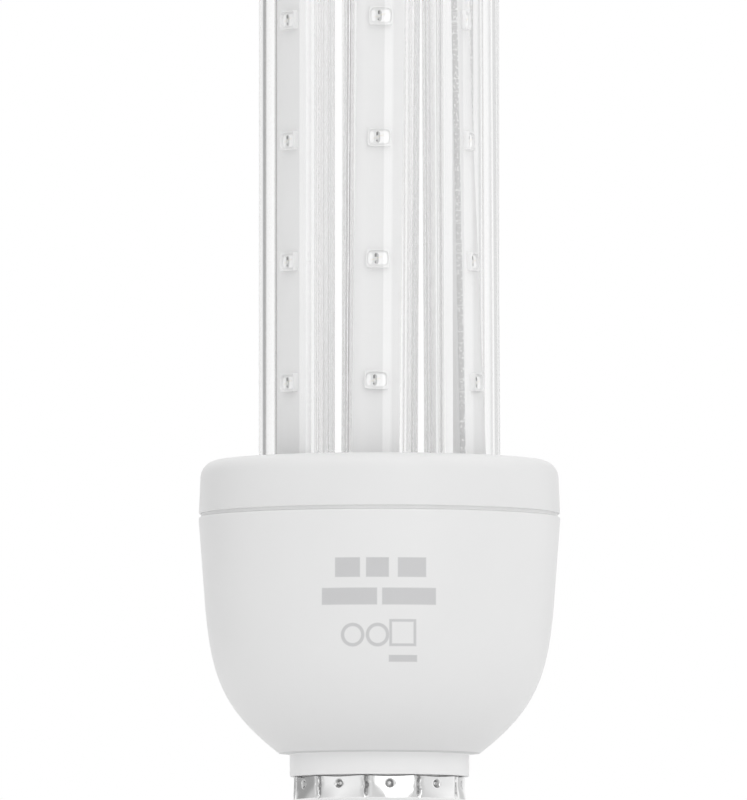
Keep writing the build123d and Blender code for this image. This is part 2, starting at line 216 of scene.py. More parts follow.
class Wire:
    """A socket in a node tree. Sums on wires add Math nodes, and node() adds any other node."""

    def __init__(self, tree, socket=None):
        self.tree = tree
        self.socket = socket

    def node(self, kind, settings=None, inputs=None, output=0):
        """Adds a node: first its settings, then the value or wire of each named socket."""
        made = self.tree.nodes.new(kind)
        for name, value in (settings or {}).items():
            if name == "stops":
                self.set_stops(made.color_ramp.elements, value)
            else:
                setattr(made, name, value)
        for name, value in (inputs or {}).items():
            if isinstance(value, Wire):
                self.tree.links.new(value.socket, made.inputs[name])
            else:
                made.inputs[name].default_value = value
        return Wire(self.tree, made.outputs[output] if made.outputs else None)

    def set_stops(self, elements, stops):
        """Gives a ramp its stops, each a place from 0 to 1 and a grey level."""
        while len(elements) < len(stops):
            elements.new(1.0)
        for element, (place, level) in zip(elements, stops):
            element.position = place
            element.color = (level, level, level, 1)

    def math(self, operation, *others):
        """A Math node on this wire and the other values."""
        values = dict(enumerate((self, *others)))
        return self.node("ShaderNodeMath", {"operation": operation}, values)

    def __add__(self, other):
        return self.math("ADD", other)

    def __sub__(self, other):
        return self.math("SUBTRACT", other)

    def __rsub__(self, other):
        return self * -1 + other

    def __mul__(self, other):
        return self.math("MULTIPLY", other)

    def __truediv__(self, other):
        return self.math("DIVIDE", other)

    def __rtruediv__(self, other):
        return self.math("POWER", -1.0) * other

    def __gt__(self, other):
        return self.math("GREATER_THAN", other)

    def __lt__(self, other):
        return self.math("LESS_THAN", other)

    def __abs__(self):
        return self.math("ABSOLUTE")

    __radd__ = __add__
    __rmul__ = __mul__

    def most(self, other):
        """The greater of two values."""
        return self.math("MAXIMUM", other)

    def root(self):
        """The square root."""
        return self.math("SQRT")

    def ramp(self, low, high, first=0.0, last=1.0):
        """Rises smoothly from first to last while the wire goes from low to high."""
        limits = {"Value": self, "From Min": low, "From Max": high, "To Min": first, "To Max": last}
        return self.node("ShaderNodeMapRange", {"interpolation_type": "SMOOTHSTEP"}, limits)

    def spread(self, first, last):
        """From first to last over the range in which most of a noise's values lie."""
        return self.ramp(*cloud_range, first, last)

    def blend(self, colour, other):
        """The first colour where the wire is 0, and the other where it is 1."""
        return self.node("ShaderNodeMix", {"data_type": "RGBA"}, {0: self, 6: colour, 7: other}, 2)

    def axes(self):
        """The x, y and z of a vector, as three wires."""
        parts = self.node("ShaderNodeSeparateXYZ", {}, {0: self}).socket.node.outputs
        return [Wire(self.tree, part) for part in parts]

    def noise(self, scale, detail=2.0, roughness=0.5):
        """Cloudy values from 0 to 1 at the wire's places, with scale clouds in a metre."""
        settings = {"Vector": self, "Scale": scale, "Detail": detail, "Roughness": roughness}
        return self.node("ShaderNodeTexNoise", {}, settings)

    def stretched(self, x, y, z):
        """The wire's places drawn out or pressed along the three axes."""
        return self.node("ShaderNodeMapping", {}, {"Vector": self, "Scale": (x, y, z)})

    def bump(self, strength, depth):
        """A normal that tilts as if the surface rose by depth where the wire is 1."""
        settings = {"Strength": strength, "Distance": depth, "Height": self}
        return self.node("ShaderNodeBump", {}, settings)


def grey(level):
    """A grey of that level."""
    return (level, level, level, 1)


def darker(colour, share):
    """A colour with each part taken down to that share."""
    return tuple(share * part for part in colour[:3]) + (1,)


def finish(name):
    """A new material. Gives the material and the wire of the object's own coordinates."""
    material = bpy.data.materials.new(name)
    material.use_nodes = True
    material.node_tree.nodes.clear()
    start = Wire(material.node_tree)
    return material, start.node("ShaderNodeTexCoord", output="Object")


def coated(place, **inputs):
    """Ends a finish with the general surface shader. Underscores stand for spaces."""
    sockets = {name.replace("_", " "): value for name, value in inputs.items()}
    shader = place.node("ShaderNodeBsdfPrincipled", {}, sockets)
    place.node("ShaderNodeOutputMaterial", {}, {"Surface": shader})


print("helpers ready")

# %% [markdown]
# The cup's front has a group of plain grey fields: two rows of bars, then two rings, a square
# and a short bar. They could be flat pieces laid on the cup, but a mask in the finish lies on
# the curve by itself. Each field is worked out from the distance to its own outline, so its
# edge stays crisp at any size, and no picture is needed.

# %% Grey fields on the cup's front
field_edge = 0.1 * mm
field_bars = (
    (-4.76, 56.5, 3.7, 2.9),
    (-0.31, 56.5, 3.4, 2.9),
    (4.82, 56.5, 4.2, 2.9),
    (-4.47, 52.2, 8.2, 2.5),
    (4.38, 52.2, 8.0, 2.5),
    (3.48, 43.0, 4.2, 1.0),
)
field_rings = ((-4.0, 46.5, 1.5, 0.5), (-0.3, 46.5, 1.5, 0.5))
field_square = (3.45, 46.8, 3.6, 0.4)
field_strength = 0.62
field_grey = (0.42, 0.42, 0.43, 1)


def inside(distance):
    """1 where a distance to an outline is negative, 0 where it is positive, with a soft edge."""
    return distance.ramp(-field_edge, field_edge, 1.0, 0.0)


def grey_fields(place):
    """The grey fields on the front of the cup, as one mask of the places on it."""
    across, depth, up = place.axes()
    fields = inside(depth * 0 + 1)
    for centre_x, centre_z, width, height in field_bars:
        away_x = abs(across - centre_x * mm) - width / 2 * mm
        away_z = abs(up - centre_z * mm) - height / 2 * mm
        fields = fields.most(inside(away_x.most(away_z)))
    for centre_x, centre_z, radius, line in field_rings:
        off_x, off_z = across - centre_x * mm, up - centre_z * mm
        reach = (off_x * off_x + off_z * off_z).root()
        fields = fields.most(inside(abs(reach - radius * mm) - line / 2 * mm))
    centre_x, centre_z, side, line = field_square
    reach = abs(across - centre_x * mm).most(abs(up - centre_z * mm))
    fields = fields.most(inside(abs(reach - side / 2 * mm) - line / 2 * mm))
    return fields * (depth < 0.0)


print("grey fields:", len(field_bars) + len(field_rings) + 1)

# %% [markdown]
# The housing is a white polyester moulding with a faint satin grain from the mould. The neck is
# painted whiter than the cup, as painted light for the light that falls on it from the front,
# and a faint painted shadow line runs where the neck meets the lip. Both are bands of height,
# so two ramps make them.

# %% White housing plastic
neck_top = 29.5 * mm
neck_light_fade = 0.3 * mm
shadow_line_rise = 0.1 * mm
shadow_line_edge = (0.06 * mm, 0.14 * mm)


def white_plastic(name, dark, light, marked_and_shaded):
    """Satin white: slow clouds in tone and gloss, and a fine grain that tilts the surface.

    For the cup, the last argument also adds the neck painted whiter as painted light, the
    painted shadow line under the lip and the grey fields.
    """
    material, place = finish(name)
    cloud = place.noise(70, 3)
    colour = cloud.blend(grey(dark), grey(light))
    if marked_and_shaded:
        up = place.axes()[2]
        # Painted light: the neck and everything below it are painted whiter.
        neck = up.ramp(neck_top, neck_top + neck_light_fade, 1.0, 0.0)
        # Painted shadow: a thin dark line just above the neck's top, under the lip.
        line = abs(up - (neck_top + shadow_line_rise)).ramp(*shadow_line_edge, 0.5, 0.0)
        colour = neck.blend(colour, grey(0.83))
        colour = line.blend(colour, grey(0.4))
        colour = (grey_fields(place) * field_strength).blend(colour, field_grey)
    grain = place.noise(5200, 3, 0.6)
    coated(
        place,
        Base_Color=colour,
        Roughness=cloud.spread(0.38, 0.46),
        Normal=grain.bump(0.25, 0.02 * mm),
    )
    return material


cup_plastic = white_plastic("cup_plastic", 0.737, 0.762, True)
cover_plastic = white_plastic("cover_plastic", 0.722, 0.747, False)
print("housing finishes:", cup_plastic.name, cover_plastic.name)

# %% [markdown]
# The cup is turned in its form: a side with a little draft that runs into one long curve down to
# the lip. A modeller could spin a few points and subdivide, but the curve would only come close.
# Here the curve is the same cubic as in the CAD, drawn finely, and the whole wall goes round
# as one closed outline: rim, bead groove, ledge, bowl, plug, neck and lip.

# %% Lower housing
side_fall = np.tan(np.radians(4.3))
side_height = 12.5 * mm
side_foot = np.array([cup_radius - side_height * side_fall, seam_height - side_height])
side_run = np.array([side_fall, 1]) / np.hypot(side_fall, 1)
lip_point = np.array([15.3, 29.8]) * mm
lip_slope = np.radians(38)
lip_run = np.array([np.cos(lip_slope), np.sin(lip_slope)])
side_pull = side_foot - 11.5 * mm * side_run
lip_pull = lip_point + 10.5 * mm * lip_run
bowl_steps = 44
bowl = cubic(side_foot, side_pull, lip_pull, lip_point, bowl_steps)
cup_wall = 1.5 * mm
bead_heights = np.array([61.2, 62.0, 62.8]) * mm
bead_depth = 0.35 * mm
ledge_height = 56.0 * mm
ledge_width = 1.7 * mm
neck_radius = 13.5 * mm
neck_foot = 26.15 * mm
plug_outside = 11.65 * mm
plug_inside = 10.05 * mm
groove_radius = 12.0 * mm


def mouth(height):
    """Radius of the cup's mouth: a cone a wall's thickness inside the drafted side."""
    return cup_radius - cup_wall - (seam_height - height) * side_fall


def cup_outline():
    """The cup's wall as one closed outline, down the inside and up the outside."""
    run = np.gradient(bowl, axis=0)
    run /= np.linalg.norm(run, axis=1)[:, None]
    bowl_inside = (bowl + np.stack([run[:, 1], -run[:, 0]], axis=1) * cup_wall)[3:-2]
    ledge_inside = mouth(ledge_height) - ledge_width
    low, middle, high = bead_heights
    top = rounded([
        (*side_foot, 0),
        (cup_radius, seam_height, 0.3 * mm),
        (mouth(seam_height), seam_height, 0.2 * mm),
        (mouth(high), high, 0.3 * mm),
        (mouth(middle) + bead_depth, middle, 0.5 * mm),
        (mouth(low), low, 0.3 * mm),
        (mouth(ledge_height), ledge_height, 0.15 * mm),
        (ledge_inside, ledge_height, 0.2 * mm),
        (ledge_inside, bowl_inside[0, 1] + 0.5 * mm, 0),
    ])
    foot = rounded([
        (*bowl_inside[-1], 0),
        (plug_inside, 30.4 * mm, 0.5 * mm),
        (plug_inside, cup_low.z, 0.3 * mm),
        (plug_outside, cup_low.z, 0.3 * mm),
        (plug_outside, 21.9 * mm, 0),
        (groove_radius, 22.7 * mm, 0),
        (groove_radius, neck_foot, 0),
        (neck_radius, neck_foot, 0.18 * mm),
        (neck_radius, neck_top, 0.12 * mm),
        (15.1 * mm, 29.65 * mm, 0.12 * mm),
        (*lip_point, 0),
    ])
    return np.concatenate([top[1:], bowl_inside, foot[1:-1], bowl[::-1]])


piece("cup_moulding", [skin(turned(cup_outline()))], [cup_plastic], ["lower_housing"])

# %% [markdown]
# The ring cover has a flat top with six round sockets, and no turned outline can have those. The
# top is shared out: each socket owns a sixth of it, from its own edge to the cover's rim and
# the lamp's axis. Rays from the socket's centre cross its share, and points along the rays
# make a grid whose inner row is the round edge and whose outer row is the rim. The inner
# rows then go on, down the socket's wall and over its floor.

# %% Ring cover
arc_steps = 32
side_steps = 14
plate_rows = 5
half_share = np.pi / leg_count
cover_edge = 2.6 * mm
cover_fall = 8.0 * mm * np.sin(np.radians(2.5))
top_radius = cover_radius - cover_fall
cover_foot = 65.7 * mm
seam_radius = cover_radius - 0.35 * mm
seam_top = seam_height + 0.02 * mm
plate_radius = top_radius - cover_edge
plate_bottom = cover_top - 1.8 * mm
socket_radius = tube_radius + 0.15 * mm
socket_outside = 7.05 * mm
socket_seat = tube_low.z
socket_bottom = socket_seat - 1.5 * mm
skirt_clearance = 0.15 * mm
skirt_outside = mouth(cover_low.z) - skirt_clearance
skirt_inside = skirt_outside - 1.5 * mm


def share_rim(radius):
    """Round one share: its arc at that radius, then in to the axis and out again, in the frame
    where the leg lies along x."""
    turn = np.linspace(-half_share, half_share, arc_steps + 1)
    arc = radius * np.stack([np.cos(turn), np.sin(turn)], axis=1)
    inward = np.linspace(1, 0, side_steps + 1)[1:, None] * arc[-1]
    outward = np.linspace(0, 1, side_steps + 1)[1:-1, None] * arc[0]
    return np.concatenate([arc, inward, outward])


def share_rows(radius, rings, height, steps):
    """Rows from the share's rim to the first ring, then the other rings (radius, height)."""
    centre = np.array([leg_circle, 0])
    rim = share_rim(radius)
    away = rim - centre
    away /= np.linalg.norm(away, axis=1)[:, None]
    share = np.linspace(0, 1, steps, endpoint=False)[:, None, None]
    first = centre + away * rings[0, 0]
    plate = rim + share * (first - rim)
    circles = centre + away * rings[:, 0, None, None]
    heights = np.concatenate([np.full(steps, height), rings[:, 1]])
    flat = np.concatenate([plate, circles])
    up = np.broadcast_to(heights[:, None, None], (*flat.shape[:2], 1))
    return np.concatenate([flat, up], axis=2)


def about_axis(points, angle):
    """Points turned about the lamp's axis: x cos - y sin, and x sin + y cos."""
    x, y, z = np.moveaxis(points, -1, 0)
    cos, sin = np.cos(angle), np.sin(angle)
    return np.stack([x * cos - y * sin, x * sin + y * cos, z], axis=-1)


socket_rings = rounded([
    (socket_radius + 1.0 * mm, cover_top, 0),
    (socket_radius, cover_top, 0.25 * mm),
    (socket_radius, socket_seat, 0.4 * mm),
    (0, socket_seat, 0),
])[1:]
boss_rings = rounded([
    (socket_outside + 0.2 * mm, plate_bottom, 0),
    (socket_outside, plate_bottom, 0),
    (socket_outside, socket_bottom, 0.4 * mm),
    (0, socket_bottom, 0),
])[1:]
low, middle, high = bead_heights
cover_outline = rounded([
    (plate_radius, cover_top, 0),
    (top_radius, cover_top, cover_edge * 0.99),
    (cover_radius, cover_foot, 0.2 * mm),
    (seam_radius, cover_foot, 0),
    (seam_radius, seam_top, 0),
    (mouth(seam_height) - skirt_clearance, seam_top, 0),
    (mouth(high) - skirt_clearance, high, 0.3 * mm),
    (mouth(middle) - skirt_clearance + bead_depth, middle, 0.5 * mm),
    (mouth(low) - skirt_clearance, low, 0.3 * mm),
    (skirt_outside, cover_low.z, 0.2 * mm),
    (skirt_inside, cover_low.z, 0.2 * mm),
    (skirt_inside, plate_bottom, 0),
], 6)
cover_side = turned(cover_outline, arc_steps * leg_count, leg_angles[0] - half_share)
cover_skins = [skin(cover_side, along=False)]
plate_sides = ((plate_radius, socket_rings, cover_top), (skirt_inside, boss_rings, plate_bottom))
for angle in leg_angles:
    for radius, rings, height in plate_sides:
        share = share_rows(radius, rings, height, plate_rows)
        cover_skins.append(skin(about_axis(share, angle), along=False))
piece("ring_cover", cover_skins, [cover_plastic] * len(cover_skins), ["upper_housing"])

# %% [markdown]
# The screw shell is thin nickel-plated sheet. Its thread is rolled, so crest and root are both
# round and the inside follows the outside. A modeller could sweep a ring along a helix, but
# here one formula does it: at any angle and height the thread's phase is the height in
# pitches less the angle in turns, and a cosine of that phase is the wave of the sheet.
# Above the thread ten stakes press the sheet into the plastic. They leave flats
# between upright creases, a round dimple in each flat and a rim that dips at each dimple.

# %% Screw shell surface
thread_pitch = 3.629 * mm
thread_root = 12.1 * mm
thread_crest = shell_high.x
thread_middle = 9.1 * mm
thread_start = (6.9 * mm, 8.6 * mm)
thread_end = (20.6 * mm, 22.4 * mm)
skirt_radius = 13.02 * mm
skirt_step = (21.0 * mm, 22.8 * mm)
shell_wall = 0.3 * mm
shell_foot = shell_low.z
shell_rim = shell_high.z
shell_heel = 1.0 * mm
heel_draw = 0.7 * mm
shell_mouth = 10.7 * mm
stake_count = 10
stake_turn = np.radians(-90 + 7.1)
stake_height = 24.9 * mm
flat_depth = 0.46 * mm
flat_start = (22.5 * mm, 25.0 * mm)
fold_depth = 0.42 * mm
fold_width = 0.42 * mm
fold_shift = 0.45 * mm
fold_start = (22.4 * mm, 23.6 * mm)
dimple_depth = 0.55 * mm
dimple_radius = 0.82 * mm
pip_height = 0.14 * mm
pip_radius = 0.25 * mm
wander_size = 0.16
wander_step = 0.3 * mm
rim_dip = 0.16 * mm
dip_start = 24.0 * mm


def rise(value, low, high):
    """0 below low, 1 above high, and 3 t^2 - 2 t^3 between them, with t the share of the way."""
    share = np.clip((value - low) / (high - low), 0, 1)
    return share * share * (3 - 2 * share)


def shell_radius(angle, height):
    """Radius of the sheet's outside at an angle and a height.

    It is the root's radius, with a round heel at the foot, plus the thread's wave, which fades
    in and out over a part of a turn, plus the step to the skirt, less the stakes' marks.
    """
    below = np.clip((shell_foot + shell_heel - height) / shell_heel, 0, 1)
    base = thread_root - heel_draw * (1 - np.sqrt(1 - below * below))
    base = base + (skirt_radius - thread_root) * rise(height, *skirt_step)
    phase = (height - thread_middle) / thread_pitch - angle / (2 * np.pi)
    wave = 0.5 + 0.5 * np.cos(2 * np.pi * phase)
    present = rise(height, *thread_start) * (1 - rise(height, *thread_end))
    return base + (thread_crest - thread_root) * wave * present - stake_marks(angle, height)


def stake_marks(angle, height):
    """Depth of the flats, folds and dimples that the stakes leave.

    A flat is a parabola across its share of the skirt, and it grows in from its foot. Midway
    between two stakes, a little to one side, the sheet is creased by a bell curve with smaller
    waves on it, which wanders on its way up. A dimple is a smooth pit round its stake, with a
    pip in the middle.
    """
    pitch = 2 * np.pi / stake_count
    off = (angle - stake_turn + pitch / 2) % pitch - pitch / 2
    flat = flat_depth * (1 - (2 * off / pitch) ** 2) * rise(height, *flat_start)
    wander = wander_size * np.sin(height / wander_step + 5 * np.sin(angle * 3))
    past_fold = ((angle - stake_turn) % pitch - pitch / 2) * skirt_radius - fold_shift
    from_fold = past_fold / fold_width + wander
    fold = fold_depth * np.exp(-(from_fold**2)) * (1 + 0.5 * np.cos(4 * from_fold))
    away = np.hypot(off * skirt_radius, height - stake_height)
    dimple = dimple_depth * (1 - rise(away, 0.15 * mm, dimple_radius))
    pip = pip_height * (1 - rise(away, 0.0, pip_radius))
    return flat + fold * rise(height, *fold_start) + dimple - pip


def shell_surface(columns=480):
    """The sheet's two sides as one closed grid: up the outside, over the rim, down the inside.

    Columns crowd together at dimples and folds: with s the share of the way from one stake to
    the next, a column stands at s - 0.6 sin(4 pi s) / (4 pi) of that way.
    """
    heel_top = shell_foot + shell_heel
    skirt_foot = 22.0 * mm
    heel = np.linspace(shell_foot, heel_top, 7)[:-1]
    thread = np.linspace(heel_top, skirt_foot, 64)[:-1]
    outside = np.concatenate([heel, thread, np.linspace(skirt_foot, shell_rim, 52)])
    inside = np.concatenate([outside[:4:-3], [shell_foot + shell_wall]])
    stakes = np.linspace(0, stake_count, columns, endpoint=False)
    crowded = stakes - 0.6 * np.sin(4 * np.pi * stakes) / (4 * np.pi)
    angle = stake_turn + crowded * 2 * np.pi / stake_count
    out_radius = shell_radius(angle[None, :], outside[:, None])
    in_radius = shell_radius(angle[None, :], inside[:, None]) - shell_wall
    lip = np.array([[shell_mouth, shell_foot + shell_wall], [shell_mouth, shell_foot]])
    radius = np.concatenate([out_radius, in_radius, np.repeat(lip[:, :1], columns, axis=1)])
    level = np.concatenate([outside, inside, lip[:, 1]])
    dip = rim_dip * (0.5 + 0.5 * np.cos(stake_count * (angle - stake_turn)))
    height = level[:, None] - dip[None, :] * rise(level, dip_start, shell_rim)[:, None]
    return np.stack([radius * np.cos(angle), radius * np.sin(angle), height], axis=-1)


print(f"thread from {thread_root / mm:.2f} to {thread_crest / mm:.2f} mm, {stake_count} stakes")

# %% [markdown]
# Bright nickel mirrors its surroundings, so what shows is mostly reflection. Fine drawing lines
# run round the sheet and handling leaves dull clouds. Both change the roughness, and a bump
# so small that it only breaks the reflections up does the rest.

# %% Nickel and the shell
pit_start = (0.14 * mm, 0.26 * mm)
pit_middle = 0.5 * mm
fold_shade_reach = (0.25 * mm, 0.7 * mm)
fold_shade_start = (22.6 * mm, 23.6 * mm)


def stake_shade(place):
    """1 in the stakes' pits and along the folds, where shade is painted dark and the metal made duller,
    0 elsewhere.

    The angle round the shell, less a stake's own, is wrapped into one pitch and turned into a
    distance along the skirt. Pits lie at distance 0 and folds near half a pitch.
    """
    across, depth, up = place.axes()
    pitch = 2 * np.pi / stake_count
    turn = (depth.math("ARCTAN2", across) - stake_turn) / pitch + 0.5
    off = (turn.math("FLOORED_MODULO", 1.0) - 0.5) * pitch * skirt_radius
    above = up - stake_height
    ring = (off * off + above * above).root()
    # Painted shade: a dark ring in each stake's pit.
    pit = ring.ramp(*pit_start) * ring.ramp(pit_middle, dimple_radius, 0.75, 0.0)
    half = pitch * skirt_radius / 2
    past = (off - fold_shift + half).math("FLOORED_MODULO", 2 * half) - half
    # Painted shade along each fold.
    fold = (half - abs(past)).ramp(*fold_shade_reach, 0.6, 0.0) * up.ramp(*fold_shade_start)
    return pit.most(fold)


def plated(name, tones, dulls, painted_shade=None):
    """A plated metal: clouds in tone and dullness, and fine lines drawn out round the axis.

    The last argument gives the mask of painted shade: the metal is painted darker there and made
    duller.
    """
    material, place = finish(name)
    cloud = place.noise(240, 4)
    lines = place.stretched(1, 1, 14).noise(700, 3)
    tone, dull = cloud.blend(*tones), cloud.ramp(0.35, 0.75, *dulls)
    if painted_shade:
        # Painted shade darkens the colour where the mask is 1; the roughness rise makes the metal
        # duller.
        shade_mask = painted_shade(place)
        tone, dull = shade_mask.blend(tone, grey(0.3)), dull + shade_mask * 0.15
    coated(place, Base_Color=tone, Metallic=1.0, Roughness=dull, Normal=lines.bump(0.12, 0.01 * mm))
    return material


# The stakes' pits and folds get painted shade.
shell_nickel = plated("bright_nickel", (grey(0.88), grey(0.82)), (0.1, 0.24), stake_shade)
shell_skin = skin(shell_surface())
piece("screw_cap_shell", [shell_skin], [shell_nickel], ["screw_shell"], sharp=60)

# %% [markdown]
# No surface is quite even: its tone and its gloss drift a little from place to place. Many small
# parts need nothing more than that. One function makes all of their finishes, and each part
# then takes one line of numbers.

# %% Plain finishes
def clouded(name, clouds, tones, dulls, bump=None, metallic=0.0):
    """Clouds of that scale and detail carry the finish from one tone to the other and from one
    roughness to the other. With a bump they also tilt it, by that strength and depth."""
    material, place = finish(name)
    cloud = place.noise(*clouds)
    inputs = {"Base_Color": cloud.blend(*tones), "Roughness": cloud.spread(*dulls)}
    if bump:
        inputs["Normal"] = cloud.bump(*bump)
    coated(place, Metallic=metallic, **inputs)
    return material


# Almost black and glossy, with ripples about a millimetre long.
cap_glass_tones = ((0.012, 0.009, 0.012, 1), (0.03, 0.022, 0.03, 1))
cap_glass = clouded("cap_glass", (800, 3), cap_glass_tones, (0.08, 0.2), (0.3, 0.05 * mm))
print("plain finish:", cap_glass.name)

# %% [markdown]
# Under the shell a cone of dark glass carries the centre contact. The glass is poured into the
# cap, so its face has soft ripples and a wet shine. The contact is a small brass plate with a
# drop of solder over the wire's end. Both are turned outlines.

# %% Insulator and centre contact
wire_hole = 1.1 * mm
cone_foot = 1.05 * mm
cone_radius = 10.62 * mm
collar_radius = 11.0 * mm
collar_foot = 6.38 * mm
collar_top = 7.88 * mm
insulator_outline = rounded([
    (wire_hole, cone_foot, 0),
    (5.2 * mm, cone_foot, 0.3 * mm),
    (7.6 * mm, 2.4 * mm, 0.8 * mm),
    (cone_radius, 5.4 * mm, 0.5 * mm),
    (cone_radius, collar_foot, 0),
    (collar_radius, collar_foot, 0.1 * mm),
    (collar_radius, collar_top, 0.2 * mm),
    (8.8 * mm, collar_top, 0.2 * mm),
    (wire_hole, 4.4 * mm, 0.3 * mm),
], 5)
cone_skin = skin(turned(insulator_outline, 128))
piece("cap_glass_cone", [cone_skin], [cap_glass], ["cap_insulator"])

contact_radius = 4.8 * mm
contact_top = 1.0 * mm
pin_radius = 1.02 * mm
pin_top = 2.4 * mm
contact_outline = rounded([
    (0, 0, 0),
    (1.5 * mm, 0, 1.0 * mm),
    (2.1 * mm, 0.3 * mm, 0.2 * mm),
    (3.3 * mm, 0.25 * mm, 0.8 * mm),
    (contact_radius, 0.5 * mm, 0.2 * mm),
    (contact_radius, contact_top, 0),
    (pin_radius, contact_top, 0),
    (pin_radius, pin_top, 0.2 * mm),
    (0, pin_top, 0),
], 5)
solder_radius = 2.1 * mm


def brass_and_solder():
    """Brass, with a disc of grey solder at the middle where its wire was fixed."""
    material, place = finish("contact_brass_and_solder")
    across, depth, _ = place.axes()
    cloud = place.noise(500, 4)
    reach = (across * across + depth * depth).root() + cloud * 0.5 * mm
    solder = reach.ramp(solder_radius, solder_radius + 0.3 * mm, 1.0, 0.0)
    coated(
        place,
        Base_Color=solder.blend((0.78, 0.57, 0.27, 1), (0.62, 0.62, 0.62, 1)),
        Metallic=1.0,
        Roughness=cloud.spread(0.22, 0.4) + solder * 0.1,
        Normal=cloud.bump(0.2, 0.02 * mm),
    )
    return material


contact_skin = skin(turned(contact_outline, 96), along=False)
piece("cap_contact", [contact_skin], [brass_and_solder()], ["centre_contact"])

# %% [markdown]
# Each U tube is one length of clear glass bent into two legs. Glass only looks right when light
# can go in and out of both faces of its wall, so a tube has an outer and an inner surface,
# joined at the cut ends. A curve object with a bevel gives one surface only. Here the
# cross-section goes along straight leg, half ring and straight leg, out on the outer
# radius and back on the inner one, which makes one closed grid. Glass is bent by hand and eye,
# and the front tube's legs draw together by about half a millimetre on their way up.

# %% Glass U tubes
leg_spread = leg_circle * np.sin(half_share)
pair_circle = leg_circle * np.cos(half_share)
front_pinch = 0.56 * mm
glass_slots = {"u_tube_front": (0, front_pinch), "u_tube_back": (2, 0), "u_tube_left": (4, 0)}
print(f"legs {2 * leg_spread / mm:.2f} mm apart at the foot")


def tube_path(pinch, straight_steps=10, bend_steps=56):
    """Centre line and its outward side: (across, up) of each, up one leg, over and down.

    From the cover's top to the bend each leg draws in by the pinch, in proportion to height.
    """
    bend_radius = leg_spread - pinch
    leg_top = tube_high.z - tube_radius - bend_radius
    rise_up = np.linspace(tube_low.z, leg_top, straight_steps + 1)[:-1]
    drawn_in = pinch * np.clip((rise_up - cover_top) / (leg_top - cover_top), 0, 1)
    turn = np.linspace(0, np.pi, bend_steps + 1)
    side = np.stack([-np.cos(turn), np.sin(turn)], axis=1)
    left = np.stack([drawn_in - leg_spread, rise_up], axis=1)
    bend = np.array([0, leg_top]) + bend_radius * side
    line = np.concatenate([left, bend, left[::-1] * [-1, 1]])
    straight = np.tile([1.0, 0.0], (straight_steps, 1))
    outward = np.concatenate([-straight, side, straight])
    return line, outward


def tube_surface(middle_angle, pinch, columns=96):
    """The glass wall: centre + radius (cos b outward + sin b forward), b going round the tube."""
    line, outward = tube_path(pinch)
    radius = np.repeat([tube_radius, tube_radius - tube_wall], len(line))
    line = np.concatenate([line, line[::-1]])
    outward = np.concatenate([outward, outward[::-1]])
    around = np.linspace(0, 2 * np.pi, columns, endpoint=False)
    flat = line[:, None] + radius[:, None, None] * np.cos(around)[None, :, None] * outward[:, None]
    forward = radius[:, None] * np.sin(around)[None, :] + pair_circle
    points = np.stack([forward, flat[..., 0], flat[..., 1]], axis=-1)
    return about_axis(points, middle_angle)


# %% [markdown]
# Clear glass has no colour of its own here, and yet it must not be perfect: the drawing of the
# tube leaves faint lines along it, and those make its bright streaks waver. Rays that light a
# diffuse surface are let past the glass, because a path tracer finds light through curved
# glass only by luck, and the strips inside would be dark and speckled.

# %% Clear glass
def clear_glass():
    """Soda glass: full transmission, an even index, and long faint draw lines in its surface."""
    material, place = finish("clear_tube_glass")
    draw = place.stretched(1, 1, 0.004).noise(420, 2)
    smear = place.noise(55, 3)
    coated(
        place,
        Base_Color=smear.blend(grey(0.985), grey(0.998)),
        Roughness=smear.ramp(0.55, 0.85, 0.0, 0.03),
        Transmission_Weight=1.0,
        IOR=1.5,
        Normal=draw.bump(0.025, 0.02 * mm),
    )
    return material


tube_glass = clear_glass()
for node_name, (first_leg, pinch) in glass_slots.items():
    middle_angle = leg_angles[first_leg] + half_share
    wall = skin(tube_surface(middle_angle, pinch))
    glass = piece(f"glass_{node_name}", [wall], [tube_glass], [node_name])
    glass.visible_shadow = False
    glass.visible_diffuse = False

# %% [markdown]
# A light strip is an aluminium board with white lacquer on its face. Strips are cut from a
# panel, and their long edges keep the saw's marks, which show as a dotted line through the
# glass. On the last strip, at the front left, the sawn edges are painted pale: painted light
# where those edges catch the light. One strip is a little twisted. So each strip's two ends
# are read from the corners of its CAD node, and everything on a strip lies between its place
# at the foot and at the top.

# %% Light strips
strip_rows = 420
saw_pitch = 0.62 * mm
saw_bite = 0.09 * mm
saw_depth = 0.1 * mm
saw_shifts = np.array([0.0, 1.1])
saw_seed = 27
strip_edge = 0.08 * mm
scatter = np.random.default_rng(saw_seed)
print(f"saw marks {saw_pitch / mm:.2f} mm apart, {strip_rows} rows up each strip")


def strip_ends(node):
    """Foot and top of a strip, and its width, length and thickness.

    Each end is the middle of its face's edge, with the directions across and out. The four
    points furthest along the strip are an end's corners. They spread most across the strip and
    next most through it, and the singular vectors of their offsets come in that order.
    """
    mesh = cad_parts[node].data
    corners = np.zeros(len(mesh.vertices) * 3)
    mesh.vertices.foreach_get("co", corners)
    corners = np.unique(np.round(corners.reshape(-1, 3), 7), axis=0)
    up = np.linalg.svd(corners - corners.mean(axis=0))[2][0]
    up = up * np.sign(up[2])
    order = np.argsort(corners @ up)
    ends = []
    for four in (corners[order[:4]], corners[order[-4:]]):
        middle = four.mean(axis=0)
        out = np.linalg.svd(four - middle)[2][1]
        out = out * np.sign(out[:2] @ middle[:2])
        across = np.cross(up, out)
        width, thickness = np.ptp((four - middle) @ np.stack([across, out]).T, axis=0)
        ends.append((middle + out * thickness / 2, across, out))
    length = np.linalg.norm(ends[1][0] - ends[0][0])
    return ends, (width, length, thickness)


def strip_section(width, thickness):
    """Outline of the strip's cross-section, its face at 0 and its back below, edges broken."""
    half = width / 2
    corners = [
        (-half, 0, strip_edge),
        (half, 0, strip_edge),
        (half, -thickness, strip_edge),
        (-half, -thickness, strip_edge),
    ]
    return rounded(corners, 2)


